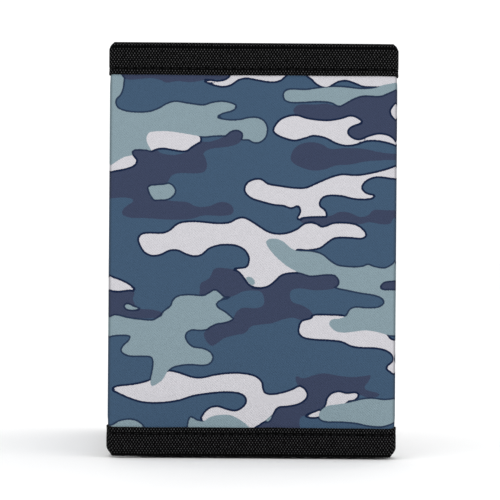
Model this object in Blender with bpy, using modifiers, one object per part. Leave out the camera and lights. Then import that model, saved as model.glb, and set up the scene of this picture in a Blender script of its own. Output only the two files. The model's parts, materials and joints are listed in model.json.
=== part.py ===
"""A trifold wallet of printed fabric, bound at its long edges with woven tape.

The wallet stands on its bottom edge with the printed face of its centre panel towards -Y.
Two narrow spines join the centre panel to two flaps, so each fold is a pair of creases.
The inner flap is folded shut behind the centre panel. The outer flap stands straight back.

Every panel is built flat in its own frame, in millimetres:
    x runs across the panel, z runs up, and depth runs from the printed face to the inside.
The frame of a flap or spine is an empty on the crease that it turns about.
"""
import math

import bpy

MM = 0.001

# Driving sizes, in millimetres
WIDTH = 83.0
HEIGHT = 120.0
TAPE = 0.5
GAP = 0.25
CLOTH = 0.4
COVER = 0.7
BOARD = 0.6
BILL_GAP = 0.9
TOP_TAPE_WIDTH = 9.5
BOTTOM_TAPE_WIDTH = 8.6
CREASE_INSET = 1.0
CREASE_GAP = 0.15
INNER_SETBACK = 2.2
OUTER_REACH = 79.0
INNER_REACH = 71.5



def layer_after(depth, thickness):
    """The layer that starts one gap further in than the given depth."""
    return (depth + GAP, depth + GAP + thickness)


# Depth of each layer, as (printed side, inside)
COVER_DEPTH = (0.0, COVER)
BOARD_DEPTH = layer_after(COVER_DEPTH[1], BOARD)
LINING_DEPTH = layer_after(BOARD_DEPTH[1], CLOTH)
ORGANISER_DEPTH = (LINING_DEPTH[1] + BILL_GAP, LINING_DEPTH[1] + BILL_GAP + CLOTH)
POCKET_DEPTHS = [layer_after(ORGANISER_DEPTH[1], CLOTH)]
for _ in range(2):
    POCKET_DEPTHS.append(layer_after(POCKET_DEPTHS[-1][1], CLOTH))
WINDOW_DEPTH = layer_after(ORGANISER_DEPTH[1], 0.2)
FRAME_DEPTH = layer_after(WINDOW_DEPTH[1], CLOTH)
TAPE_PROUD = GAP + TAPE
SHELL_LEG = LINING_DEPTH[1] + GAP + TAPE
FULL_LEG = ORGANISER_DEPTH[1] + GAP + TAPE

# The zip, in depth, from its slider's lower plate to the top of the slider's bridge
PLATE = 0.5
TOOTH_HEIGHT = 1.0
SLIDER_LOW = ORGANISER_DEPTH[1] + GAP
TEETH_DEPTH = (SLIDER_LOW + PLATE + 0.2, SLIDER_LOW + PLATE + 0.2 + TOOTH_HEIGHT)
SLIDER_TOP = TEETH_DEPTH[1] + 0.2 + PLATE
BRIDGE_HOLE = 0.9
BRIDGE_TOP = SLIDER_TOP + BRIDGE_HOLE + PLATE
PULL_AXIS_DEPTH = SLIDER_TOP + BRIDGE_HOLE / 2
ZIP_TAPE_DEPTH = (TEETH_DEPTH[0] + 0.35, TEETH_DEPTH[0] + 0.65)
COIN_DEPTH = layer_after(ZIP_TAPE_DEPTH[1], CLOTH)
HOOK_DEPTH = layer_after(COIN_DEPTH[1], 0.8)
LOOP_THICKNESS = 0.8

# Closed thickness at each flap: from the centre's printed face to the flap's printed face
CLOSED_GAP = 0.3
INNER_CLOSED = POCKET_DEPTHS[-1][1] + CLOSED_GAP + FRAME_DEPTH[1]
OUTER_CLOSED = INNER_CLOSED + GAP + LOOP_THICKNESS + CLOSED_GAP + HOOK_DEPTH[1]
INNER_SPINE_LENGTH = INNER_CLOSED - 2 * CREASE_INSET
OUTER_SPINE_LENGTH = OUTER_CLOSED - 2 * CREASE_INSET

# Heights
EDGE = TAPE + GAP
SHELL_Z = (EDGE, HEIGHT - EDGE)
TOP_TAPE_Z = (HEIGHT - TOP_TAPE_WIDTH, HEIGHT)
BOTTOM_TAPE_Z = (0.0, BOTTOM_TAPE_WIDTH)
TRIM = 0.3
TRIM_Z = (TOP_TAPE_Z[0] - 6.3, TOP_TAPE_Z[0] - 0.3)
ORGANISER_Z = (EDGE, TRIM_Z[1] - TRIM - GAP)
POCKET_Z = (BOTTOM_TAPE_WIDTH + 0.3, TRIM_Z[0] - 0.3)

# Across the flaps, measured from the crease
CREASE_TO_EDGE = WIDTH / 2 - CREASE_INSET
POCKET_OPENINGS = [33.0, 22.5, 12.0]
ZIP_X = -20.0
ZIP_Z = (17.0, 100.0)
TOOTH_PITCH = 1.25
TEETH_GAP = 1.0
TEETH_WIDTH = 1.6
ZIP_TAPE_WIDTH = 10.2
SLIDER_LENGTH = 7.4
SLIDER_WIDTH = 7.0
STOP_LENGTH = 2.2
HOOK_X = (-OUTER_REACH + 10.4, -OUTER_REACH + 26.4)
LOOP_X = (4.0, 20.0)
STRIP_Z = (20.0, 98.0)

# Colours
BLUE_PRINT = (0.055, 0.105, 0.175)
BLACK_TAPE = (0.006, 0.006, 0.008)
BOARD_GREY = (0.35, 0.35, 0.36)
LINING_GREY = (0.028, 0.030, 0.035)
POCKET_BLACK = (0.014, 0.015, 0.018)
CLEAR_VINYL = (0.75, 0.78, 0.80)
GUNMETAL = (0.22, 0.22, 0.23)
NYLON_BLACK = (0.010, 0.010, 0.012)


def clear_scene():
    for obj in list(bpy.data.objects):
        bpy.data.objects.remove(obj)


def new_collection(name):
    collection = bpy.data.collections.new(name)
    bpy.context.scene.collection.children.link(collection)
    return collection


def new_material(name, colour, roughness, metallic):
    material = bpy.data.materials.new(name)
    material.use_nodes = True
    shader = material.node_tree.nodes["Principled BSDF"]
    shader.inputs["Base Color"].default_value = (*colour, 1.0)
    shader.inputs["Roughness"].default_value = roughness
    shader.inputs["Metallic"].default_value = metallic
    material.diffuse_color = (*colour, 1.0)
    return material


class Panel:
    """A flat piece of the wallet: an empty that its pieces hang on, and where its print lies."""

    def __init__(self, name, x, depth, turn, print_face, parts, cutters):
        self.parts = parts
        self.cutters = cutters
        self.print_face = print_face
        self.frame = bpy.data.objects.new(name, None)
        self.frame.location = (x * MM, depth * MM, 0.0)
        self.frame.rotation_euler = (0.0, 0.0, math.radians(turn))
        self.frame.empty_display_size = 0.01
        parts.objects.link(self.frame)

    def y(self, depth):
        """A depth below the printed face, as this frame's own y in metres."""
        return (depth - self.print_face) * MM


def finish_piece(obj, panel, colour, roughness=0.85, metallic=0.0):
    obj.parent = panel.frame
    obj.data.materials.append(new_material(obj.name, colour, roughness, metallic))
    return obj


def rounded_outline(x_range, z_range, corner, steps=5):
    """The points of a rectangle whose corners are arcs, or plain corners if corner is 0."""
    low_x, high_x = x_range
    low_z, high_z = z_range
    if corner == 0:
        return [(low_x, low_z), (high_x, low_z), (high_x, high_z), (low_x, high_z)]
    centres = [
        (high_x - corner, high_z - corner),
        (low_x + corner, high_z - corner),
        (low_x + corner, low_z + corner),
        (high_x - corner, low_z + corner),
    ]
    points = []
    for quarter, (x, z) in enumerate(centres):
        for step in range(steps + 1):
            angle = math.pi / 2 * (quarter + step / steps)
            points.append((x + corner * math.cos(angle), z + corner * math.sin(angle)))
    return points


def cut_sheet(name, panel, outlines, depth, colour, roughness=0.85, metallic=0.0):
    """A sheet cut to closed outlines of (x, z) points; a second outline inside is a hole."""
    curve = bpy.data.curves.new(name, "CURVE")
    curve.dimensions = "2D"
    curve.fill_mode = "BOTH"
    curve.extrude = (depth[1] - depth[0]) / 2
    for outline in outlines:
        spline = curve.splines.new("POLY")
        spline.points.add(len(outline) - 1)
        spline.use_cyclic_u = True
        for point, (x, z) in zip(spline.points, outline):
            point.co = (x, z, 0.0, 1.0)
    obj = bpy.data.objects.new(name, curve)
    obj.scale = (MM, MM, MM)
    obj.location = (0.0, panel.y((depth[0] + depth[1]) / 2), 0.0)
    obj.rotation_euler = (math.pi / 2, 0.0, 0.0)
    panel.parts.objects.link(obj)
    return finish_piece(obj, panel, colour, roughness, metallic)


def plain_sheet(name, panel, x_range, z_range, depth, colour, roughness=0.85, corner=0.0):
    outline = rounded_outline(sorted(x_range), z_range, corner)
    return cut_sheet(name, panel, [outline], depth, colour, roughness)


def box(name, panel, collection, x_range, z_range, depth):
    """A box between two corners given in the panel's frame."""
    bpy.ops.mesh.primitive_cube_add(size=1.0)
    obj = bpy.context.object
    obj.name = name
    obj.data.name = name
    for old in list(obj.users_collection):
        old.objects.unlink(obj)
    collection.objects.link(obj)
    obj.location = (
        sum(x_range) / 2 * MM,
        (panel.y(depth[0]) + panel.y(depth[1])) / 2,
        sum(z_range) / 2 * MM,
    )
    obj.scale = (
        abs(x_range[1] - x_range[0]) * MM,
        (depth[1] - depth[0]) * MM,
        (z_range[1] - z_range[0]) * MM,
    )
    return obj


def cut_away(obj, panel, x_range, z_range, depth):
    """Removes a box from obj with a live Boolean, and returns the cutter."""
    name = f"{obj.name}_cutter_{len(obj.modifiers) + 1}"
    cutter = box(name, panel, panel.cutters, x_range, z_range, depth)
    cutter.parent = panel.frame
    cutter.hide_render = True
    cutter.display_type = "WIRE"
    modifier = obj.modifiers.new(name, "BOOLEAN")
    modifier.operation = "DIFFERENCE"
    modifier.object = cutter
    return cutter


def binding(name, panel, x_range, z_range, leg_depth, open_side, inner_x=None):
    """A tape folded round an edge. open_side is the side that the panel's layers leave by.

    inner_x is how far the leg on the inside runs, where it stops short of a crease.
    """
    tape = box(name, panel, panel.parts, x_range, z_range, (-TAPE_PROUD, leg_depth))
    slot_x = [x_range[0] - 1, x_range[1] + 1]
    slot_z = [z_range[0] - 1, z_range[1] + 1]
    if open_side == "up":
        slot_z[0] = z_range[0] + TAPE
    elif open_side == "down":
        slot_z[1] = z_range[1] - TAPE
    elif open_side == "right":
        slot_x[0] = x_range[0] + TAPE
    else:
        slot_x[1] = x_range[1] - TAPE
    cut_away(tape, panel, slot_x, slot_z, (TAPE - TAPE_PROUD, leg_depth - TAPE))
    if inner_x:
        past_crease = (CREASE_INSET - 0.1, leg_depth + 1)
        if inner_x[0] > x_range[0]:
            cut_away(tape, panel, (x_range[0] - 1, inner_x[0]), (-1, HEIGHT + 1), past_crease)
        if inner_x[1] < x_range[1]:
            cut_away(tape, panel, (inner_x[1], x_range[1] + 1), (-1, HEIGHT + 1), past_crease)
    finish_piece(tape, panel, BLACK_TAPE)


def shell(prefix, panel, outer_x, inner_x):
    """Printed cover, stiff board, lining and organiser backing of one panel."""
    plain_sheet(f"{prefix}_cover", panel, outer_x, SHELL_Z, COVER_DEPTH, BLUE_PRINT)
    plain_sheet(f"{prefix}_board", panel, inner_x, SHELL_Z, BOARD_DEPTH, BOARD_GREY, 0.6)
    plain_sheet(f"{prefix}_lining", panel, inner_x, SHELL_Z, LINING_DEPTH, LINING_GREY)
    plain_sheet(f"{prefix}_organiser", panel, inner_x, ORGANISER_Z, ORGANISER_DEPTH, LINING_GREY)
    trim = box(f"{prefix}_organiser_trim", panel, panel.parts, inner_x, TRIM_Z,
               (ORGANISER_DEPTH[0] - GAP - TRIM, ORGANISER_DEPTH[1] + GAP + TRIM))
    cut_away(trim, panel, (inner_x[0] - 1, inner_x[1] + 1), (TRIM_Z[0] - 1, TRIM_Z[1] - TRIM),
             (ORGANISER_DEPTH[0] - GAP, ORGANISER_DEPTH[1] + GAP))
    finish_piece(trim, panel, BLACK_TAPE)


def long_edge_tapes(prefix, panel, outer_x, inner_x, bottom_leg):
    binding(f"{prefix}_top_tape", panel, outer_x, TOP_TAPE_Z, SHELL_LEG, "down", inner_x)
    binding(f"{prefix}_bottom_tape", panel, outer_x, BOTTOM_TAPE_Z, bottom_leg, "up", inner_x)


def build_centre(panel):
    outer_x = (-CREASE_TO_EDGE + CREASE_GAP, CREASE_TO_EDGE - CREASE_GAP)
    inner_x = (-CREASE_TO_EDGE + INNER_SETBACK, CREASE_TO_EDGE - INNER_SETBACK)
    shell("centre", panel, outer_x, inner_x)
    long_edge_tapes("centre", panel, outer_x, inner_x, FULL_LEG)
    for number, (opening, depth) in enumerate(zip(POCKET_OPENINGS, POCKET_DEPTHS), start=1):
        plain_sheet(f"card_pocket_{number}", panel, (inner_x[0], opening), POCKET_Z, depth,
                    POCKET_BLACK, corner=1.5)


def build_spine(prefix, panel, length, side):
    """A narrow strip between two creases; side is -1 if it runs towards -x when flat."""
    span = sorted((side * CREASE_GAP, side * (length - CREASE_GAP)))
    plain_sheet(f"{prefix}_cover", panel, span, SHELL_Z, COVER_DEPTH, BLUE_PRINT)
    plain_sheet(f"{prefix}_lining", panel, span, SHELL_Z, LINING_DEPTH, LINING_GREY)
    long_edge_tapes(prefix, panel, span, None, SHELL_LEG)


def build_flap_shell(prefix, panel, reach, side):
    """Everything that both flaps share. The free edge has a binding of its own."""
    outer_x = sorted((side * CREASE_GAP, side * reach))
    inner_x = sorted((side * INNER_SETBACK, side * reach))
    layers_outer_x = sorted((side * CREASE_GAP, side * (reach - EDGE)))
    layers_inner_x = sorted((side * INNER_SETBACK, side * (reach - EDGE)))
    shell(prefix, panel, layers_outer_x, layers_inner_x)
    long_edge_tapes(prefix, panel, outer_x, inner_x, FULL_LEG)
    edge_x = sorted((side * reach, side * (reach - BOTTOM_TAPE_WIDTH)))
    edge_z = (BOTTOM_TAPE_WIDTH + 0.3, TOP_TAPE_Z[0] - 0.3)
    binding(f"{prefix}_side_tape", panel, edge_x, edge_z, FULL_LEG + TRIM + GAP,
            "left" if side > 0 else "right")


def build_teeth(name, panel, side):
    """A strip whose half that faces the zip's middle line is cut into a row of teeth."""
    near = ZIP_X + side * TEETH_GAP / 2
    far = near + side * TEETH_WIDTH
    root = far - side * 0.5
    row = box(name, panel, panel.parts, sorted((near, far)), ZIP_Z, TEETH_DEPTH)
    slot = 0.45 * TOOTH_PITCH
    first = (ZIP_Z[0] + TOOTH_PITCH - slot, ZIP_Z[0] + TOOTH_PITCH)
    slot_x = sorted((near - side, root))
    cutter = cut_away(row, panel, slot_x, first, (TEETH_DEPTH[0] - 1, TEETH_DEPTH[1] + 1))
    repeat = cutter.modifiers.new("tooth_pitch", "ARRAY")
    repeat.count = int((ZIP_Z[1] - ZIP_Z[0]) / TOOTH_PITCH)
    repeat.relative_offset_displace = (0.0, 0.0, TOOTH_PITCH / slot)
    finish_piece(row, panel, NYLON_BLACK, 0.4)


def build_zip(panel):
    for side, name in ((1, "fold_side"), (-1, "edge_side")):
        build_teeth(f"zip_teeth_{name}", panel, side)
        near = ZIP_X + side * (TEETH_GAP / 2 + TEETH_WIDTH + GAP)
        tape_x = (near, near + side * ZIP_TAPE_WIDTH)
        plain_sheet(f"zip_tape_{name}", panel, tape_x, (ZIP_Z[0] - 5, ZIP_Z[1] + 3),
                    ZIP_TAPE_DEPTH, NYLON_BLACK)
        stop_x = (ZIP_X + side * 0.4, ZIP_X + side * (TEETH_GAP / 2 + TEETH_WIDTH))
        plain_sheet(f"zip_top_stop_{name}", panel, stop_x,
                    (ZIP_Z[0] - GAP - STOP_LENGTH, ZIP_Z[0] - GAP), TEETH_DEPTH, GUNMETAL, 0.35)
    stop_x = (ZIP_X - TEETH_GAP / 2 - TEETH_WIDTH, ZIP_X + TEETH_GAP / 2 + TEETH_WIDTH)
    plain_sheet("zip_bottom_stop", panel, stop_x, (ZIP_Z[1] + GAP, ZIP_Z[1] + GAP + STOP_LENGTH),
                TEETH_DEPTH, GUNMETAL, 0.35)


def slider_height():
    """The slider's middle when the zip is shut, just above the top stops."""
    return ZIP_Z[0] + SLIDER_LENGTH / 2 + 0.2


def build_slider(frame):
    """Two plates joined by a post, with a bridge for the pull. The frame is at the bridge."""
    half = SLIDER_WIDTH / 2
    length = (-SLIDER_LENGTH / 2, SLIDER_LENGTH / 2)
    slider = box("zip_slider", frame, frame.parts, (-half, half), length,
                 (SLIDER_LOW, BRIDGE_TOP))
    past_end = (length[0] - 1, length[1] + 1)
    channel = (SLIDER_LOW + PLATE, SLIDER_TOP - PLATE)
    bridge = (-2.7, 2.7)
    for side in (-1, 1):
        cut_away(slider, frame, sorted((side * 0.25, side * (half + 1))), past_end, channel)
        cut_away(slider, frame, sorted((side * 0.9, side * (half + 1))), past_end,
                 (SLIDER_TOP, BRIDGE_TOP + 1))
        end = sorted((side * bridge[1], side * (bridge[1] + 3)))
        cut_away(slider, frame, (-half - 1, half + 1), end, (SLIDER_TOP, BRIDGE_TOP + 1))
    cut_away(slider, frame, (-2, 2), (-1.6, 1.6), (SLIDER_TOP, SLIDER_TOP + BRIDGE_HOLE))
    finish_piece(slider, frame, GUNMETAL, 0.35, 1.0)


def build_pull(frame):
    """A tab that hangs on the bridge by a crossbar, with a window that clears the bridge."""
    depth = (PULL_AXIS_DEPTH - 0.2, PULL_AXIS_DEPTH + 0.2)
    tab = rounded_outline((-2.1, 2.1), (-17.0, 0.2), 0.19, steps=3)
    window = rounded_outline((-1.2, 1.2), (-3.2, -0.2), 0.3, steps=3)
    eyelet = rounded_outline((-0.9, 0.9), (-15.8, -14.0), 0.89, steps=4)
    cut_sheet("zip_pull", frame, [tab, window, eyelet], depth, GUNMETAL, 0.35, 1.0)


def build_outer_flap(panel):
    build_flap_shell("outer_flap", panel, OUTER_REACH, -1)
    build_zip(panel)
    facing_x = (ZIP_X + SLIDER_WIDTH / 2 + 0.6, -INNER_SETBACK)
    plain_sheet("coin_pocket_facing", panel, facing_x, POCKET_Z, COIN_DEPTH, POCKET_BLACK)
    front_x = (-OUTER_REACH + BOTTOM_TAPE_WIDTH + 0.4, ZIP_X - SLIDER_WIDTH / 2 - 0.6)
    plain_sheet("coin_pocket_front", panel, front_x, POCKET_Z, COIN_DEPTH, POCKET_BLACK)
    plain_sheet("hook_strip", panel, HOOK_X, STRIP_Z, HOOK_DEPTH, NYLON_BLACK, corner=2.0)


def build_inner_flap(panel):
    build_flap_shell("inner_flap", panel, INNER_REACH, 1)
    frame_x = (INNER_SETBACK + 1.0, INNER_REACH - BOTTOM_TAPE_WIDTH - 0.4)
    opening_x = (frame_x[0] + 7.0, frame_x[1] - 7.0)
    opening_z = (POCKET_Z[0] + 8.0, POCKET_Z[1] - 6.0)
    frame = rounded_outline(frame_x, POCKET_Z, 1.5)
    opening = rounded_outline(opening_x, opening_z, 4.0)
    cut_sheet("id_window_frame", panel, [frame, opening], FRAME_DEPTH, POCKET_BLACK)
    plain_sheet("id_window", panel, (opening_x[0] - 4, opening_x[1] + 4),
                (opening_z[0] - 4, opening_z[1] + 4), WINDOW_DEPTH, CLEAR_VINYL, 0.1)
    plain_sheet("loop_strip", panel, LOOP_X, STRIP_Z, (-GAP - LOOP_THICKNESS, -GAP),
                NYLON_BLACK, corner=2.0)


def main():
    clear_scene()
    parts = new_collection("trifold_wallet")
    cutters = new_collection("cutters")

    def panel(name, x, depth, turn, print_face=CREASE_INSET):
        return Panel(name, x, depth, turn, print_face, parts, cutters)

    build_centre(panel("centre_frame", 0.0, 0.0, 0.0, 0.0))
    left = -CREASE_TO_EDGE
    right = CREASE_TO_EDGE
    outer_crease = OUTER_CLOSED - CREASE_INSET
    inner_crease = INNER_CLOSED - CREASE_INSET
    outer_spine = panel("outer_spine_frame", left, CREASE_INSET, -90.0)
    build_spine("outer_spine", outer_spine, OUTER_SPINE_LENGTH, -1)
    inner_spine = panel("inner_spine_frame", right, CREASE_INSET, 90.0)
    build_spine("inner_spine", inner_spine, INNER_SPINE_LENGTH, 1)
    build_outer_flap(panel("outer_flap_frame", left, outer_crease, -90.0))
    build_inner_flap(panel("inner_flap_frame", right, inner_crease, 180.0))

    slider_x = left + PULL_AXIS_DEPTH - CREASE_INSET
    slider_y = outer_crease - ZIP_X
    slider = panel("zip_slider_frame", slider_x, slider_y, -90.0, PULL_AXIS_DEPTH)
    slider.frame.location.z = slider_height() * MM
    build_slider(slider)
    pull = panel("zip_pull_frame", slider_x, slider_y, -90.0, PULL_AXIS_DEPTH)
    pull.frame.location.z = slider_height() * MM
    build_pull(pull)


main()
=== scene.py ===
"""The looks of the trifold wallet: printed canvas, woven tape, pockets, zip, window and stitching.

Lengths are in millimetres until a mesh is made. Every soft layer is drawn on the unrolled wallet:
    u runs along the wallet, 0 at the middle of the centre panel, negative towards the outer flap
    z runs up, from 0 at the bottom edge
    depth runs from the printed face to the inside
"""
import json
import math

import bmesh
import bpy
import numpy as np
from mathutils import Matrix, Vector


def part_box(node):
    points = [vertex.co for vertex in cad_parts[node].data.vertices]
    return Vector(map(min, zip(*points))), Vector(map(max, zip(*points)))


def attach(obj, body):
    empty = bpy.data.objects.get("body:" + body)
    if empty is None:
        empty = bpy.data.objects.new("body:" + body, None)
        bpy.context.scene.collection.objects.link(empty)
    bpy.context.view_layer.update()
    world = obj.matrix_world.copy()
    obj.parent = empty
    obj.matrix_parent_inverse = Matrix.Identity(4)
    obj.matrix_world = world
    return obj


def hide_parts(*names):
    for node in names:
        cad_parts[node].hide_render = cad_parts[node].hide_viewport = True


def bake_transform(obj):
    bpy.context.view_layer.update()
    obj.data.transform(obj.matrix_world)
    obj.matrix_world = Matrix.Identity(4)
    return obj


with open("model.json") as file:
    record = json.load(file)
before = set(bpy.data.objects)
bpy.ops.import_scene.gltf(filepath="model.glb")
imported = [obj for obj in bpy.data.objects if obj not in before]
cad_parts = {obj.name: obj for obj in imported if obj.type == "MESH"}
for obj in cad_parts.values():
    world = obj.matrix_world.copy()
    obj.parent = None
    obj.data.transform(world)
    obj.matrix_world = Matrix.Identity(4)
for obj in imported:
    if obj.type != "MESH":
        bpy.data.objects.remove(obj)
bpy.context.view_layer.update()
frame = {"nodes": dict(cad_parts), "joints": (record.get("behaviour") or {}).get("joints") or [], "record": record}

MM = 0.001

# Sizes read from the frame


def node_box(node):
    low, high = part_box(node)
    return [c / MM for c in low], [c / MM for c in high]


def joint_depth(name):
    joint = next(j for j in frame["joints"] if j["name"] == name)
    return joint["pos_m"][1] / MM


HALF = node_box("inner_spine_cover")[1][0]
HEIGHT = node_box("centre_top_tape")[1][2]
TOP_EDGE = node_box("centre_top_tape")[0][2]
BOTTOM_EDGE = node_box("centre_bottom_tape")[1][2]
SIDE_WIDTH = node_box("outer_flap_side_tape")[1][1] - node_box("outer_flap_side_tape")[0][1]
CREASE_INSET = joint_depth("outer_spine_crease")
OUTER_CLOSED = joint_depth("outer_flap_crease") + CREASE_INSET
INNER_CLOSED = node_box("inner_flap_cover")[1][1]
OUTER_END = -HALF - node_box("outer_flap_side_tape")[1][1]
INNER_END = HALF + INNER_CLOSED + HALF - node_box("inner_flap_side_tape")[0][0]
OUTER_CREASE = -HALF - OUTER_CLOSED
INNER_CREASE = HALF + INNER_CLOSED

# The seams where two strips meet, each on a flat stretch
SEAM_FROM_FOLD = 10.0
OUTER_SEAM = (-HALF + OUTER_CREASE) / 2
FACE_SEAM = HALF - SEAM_FROM_FOLD
INNER_SEAM = (HALF + INNER_CREASE) / 2

# Sizes of the soft layers
SHELL_MARGIN = 0.9
COVER_THICK = 0.6
LINING = (1.75, 2.15)
TAPE_PROUD = 0.45
TAPE_THICK = 0.42
SPINE_LEG = 2.75
PANEL_LEG = 4.1

# How the strip's folds and corners are rounded
FOLD_RADIUS = 1.2
SHARPEST = 0.06
BLEND_REACH = 2.4
TOP_CORNER = 1.5
BOTTOM_CORNER = 2.6
END_CORNER = 1.3
CREASE_DROP = 0.5
CREASE_REACH = 3.0
SPINE_FADE = 4.2
DROP_REACH = 3.5
NEAR_FOLD = 4.0
CLOSEST_STATIONS = 0.12
NEAR_END = (0.15, 0.35, 0.6, 0.95)


def smooth(t):
    t = np.clip(t, 0.0, 1.0)
    return t * t * (3 - 2 * t)


# The unrolled strip in plan


def corner(s, depth):
    """Distances from a right-angled fold along its two sides, at s along the strip from it."""
    reach = np.maximum(FOLD_RADIUS, depth + SHARPEST)
    radius = reach - depth
    angle = np.clip((s + reach) / (2 * reach), 0.0, 1.0) * math.pi / 2
    along = np.where(s > reach, s, np.where(s < -reach, depth, reach - radius * np.cos(angle)))
    across = np.where(s > reach, depth, np.where(s < -reach, -s, reach - radius * np.sin(angle)))
    return along, across


def plan(u, depth):
    """Where a point of the unrolled strip lies at rest, as x and y."""
    u, depth = np.broadcast_arrays(np.asarray(u, float), np.asarray(depth, float))
    left_x, left_y = corner(u + HALF, depth)
    right_x, right_y = corner(HALF - u, depth)
    back_x, back_y = corner(u - INNER_CREASE, depth)
    x = np.where(u < 0, left_x - HALF, np.where(u < INNER_SEAM, HALF - right_x, HALF - back_x))
    y = np.where(u < 0, left_y, np.where(u < INNER_SEAM, right_y, INNER_CLOSED - back_y))
    return x, y


def stations(start, end, step, depth=0.0):
    """Places along the strip to put vertices at: every step, and closer at folds and free ends."""
    reach = max(FOLD_RADIUS, depth + SHARPEST)
    found = [start, end]
    for fold in (-HALF, HALF, INNER_CREASE, OUTER_CREASE):
        found += list(np.linspace(fold - reach, fold + reach, 11))
        found += list(np.linspace(fold - reach - NEAR_FOLD, fold - reach, 6)[:-1])
        found += list(np.linspace(fold + reach, fold + reach + NEAR_FOLD, 6)[1:])
    for free_end in (OUTER_END, INNER_END):
        found += [free_end + side * near for side in (-1, 1) for near in NEAR_END]
    found += list(np.arange(math.ceil(start / step) * step, end, step))
    kept = []
    for u in sorted(u for u in found if start <= u <= end):
        if not kept or u - kept[-1] > CLOSEST_STATIONS:
            kept.append(u)
    kept[-1] = end
    return np.array(kept)


def edge_drop(u, radius):
    """How far an edge is pulled in at u, which rounds the wallet's corners."""
    drop = CREASE_DROP * np.exp(-(((u - OUTER_CREASE) / CREASE_REACH) ** 2))
    for fold, panel_side, share in ((-HALF, 1, 1.0), (HALF, -1, 1.0), (INNER_CREASE, 1, 0.4)):
        s = (u - fold) * panel_side
        inside = corner(s, -TAPE_PROUD)[0] + TAPE_PROUD
        round_by = radius * share
        arc = rounding(inside, round_by)
        on_spine = round_by * np.exp(np.minimum(s, 0.0) / SPINE_FADE)
        drop = np.maximum(drop, np.where(s > 0, arc, np.minimum(on_spine, arc)))
    return np.maximum(drop, rounding(from_free_end(u), END_CORNER))


def rounding(inside, radius):
    """How far a corner's quarter circle is below its edge, at a distance inside the other edge."""
    short = np.clip(radius - inside, 0.0, radius)
    return radius - np.sqrt(radius**2 - short**2)


def from_free_end(u):
    return np.minimum(np.abs(u - OUTER_END), np.abs(u - INNER_END))


def warp_z(u, z):
    """Pulls the strip's edges towards the middle near each fold."""
    top = np.clip((z - TOP_EDGE + DROP_REACH) / (HEIGHT - TOP_EDGE + DROP_REACH), 0.0, 1.0)
    bottom = np.clip((BOTTOM_EDGE + DROP_REACH - z) / (BOTTOM_EDGE + DROP_REACH), 0.0, 1.0)
    return z - edge_drop(u, TOP_CORNER) * top + edge_drop(u, BOTTOM_CORNER) * bottom


def ripple(u, z, size):
    """A slight unevenness, the same each run."""
    waves = (
        (0.11, 0.05, 0.3), (0.07, -0.13, 1.9), (0.23, 0.19, 4.1), (-0.31, 0.09, 2.2),
        (0.05, 0.33, 5.0), (0.47, -0.21, 0.8),
    )
    return size * sum(np.sin(a * u + b * z + c) for a, b, c in waves) / len(waves)


# Meshes


def lay(u, z, depth, warped=True):
    """Points of the unrolled strip, as they lie at rest."""
    x, y = plan(u, depth)
    height = warp_z(u, z) if warped else z
    return np.stack(np.broadcast_arrays(x, y, height), -1).reshape(-1, 3)


def swatch(along, across):
    """Places on a piece of cloth."""
    return np.stack(np.broadcast_arrays(along, across, 0.0), -1).reshape(-1, 3)


def new_object(name, points, faces, material, cloth=None):
    """A mesh object from points in millimetres. cloth is each point's place on its cloth."""
    mesh = bpy.data.meshes.new(name)
    mesh.from_pydata((points * MM).tolist(), [], faces)
    mesh.materials.append(material)
    turned = bmesh.new()
    turned.from_mesh(mesh)
    bmesh.ops.recalc_face_normals(turned, faces=turned.faces)
    turned.to_mesh(mesh)
    turned.free()
    mesh.shade_smooth()
    mesh.set_sharp_from_angle(angle=math.radians(50))
    if cloth is not None:
        layer = mesh.attributes.new("cloth", "FLOAT_VECTOR", "POINT")
        layer.data.foreach_set("vector", np.asarray(cloth, np.float32).ravel())
    obj = bpy.data.objects.new(name, mesh)
    bpy.context.scene.collection.objects.link(obj)
    return obj


def slab_faces(rows, columns):
    """Two grids of points, front then back, joined round their rim."""
    size = rows * columns
    grid = np.arange(size).reshape(rows, columns)
    quads = np.stack([grid[:-1, :-1], grid[:-1, 1:], grid[1:, 1:], grid[1:, :-1]], -1).reshape(-1, 4)
    rim = np.concatenate([grid[0, :-1], grid[:-1, -1], grid[-1, :0:-1], grid[:0:-1, 0]])
    after = np.roll(rim, -1)
    walls = np.stack([after, rim, rim + size, after + size], -1)
    return np.concatenate([quads, quads[:, ::-1] + size, walls]).tolist()


def ring_faces(rings, size, first=0, closed=False):
    """Quads from each ring of points to the next, and from the last to the first if closed."""
    faces = []
    for ring in range(rings if closed else rings - 1):
        here, there = first + ring * size, first + (ring + 1) % rings * size
        for index in range(size):
            after = (index + 1) % size
            faces.append((here + index, here + after, there + after, there + index))
    return faces


def tube_faces(count, rings, size):
    """The faces of a number of like tubes, one after another, with their ends closed."""
    faces = []
    for first in range(0, count * rings * size, rings * size):
        last = first + (rings - 1) * size
        faces += ring_faces(rings, size, first)
        faces += [tuple(range(first, first + size)), tuple(range(last, last + size))]
    return faces


def strip_slab(name, us, zs, front, back, material, warped=True):
    """A layer of the strip. front and back give the depth of its two faces at (u, z)."""
    u, z = np.meshgrid(us, zs)
    depths = [face(u, z) if callable(face) else face for face in (front, back)]
    points = np.concatenate([lay(u, z, depth, warped) for depth in depths])
    cloth = np.tile(swatch(u, z), (2, 1))
    return new_object(name, points, slab_faces(len(zs), len(us)), material, cloth)


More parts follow.
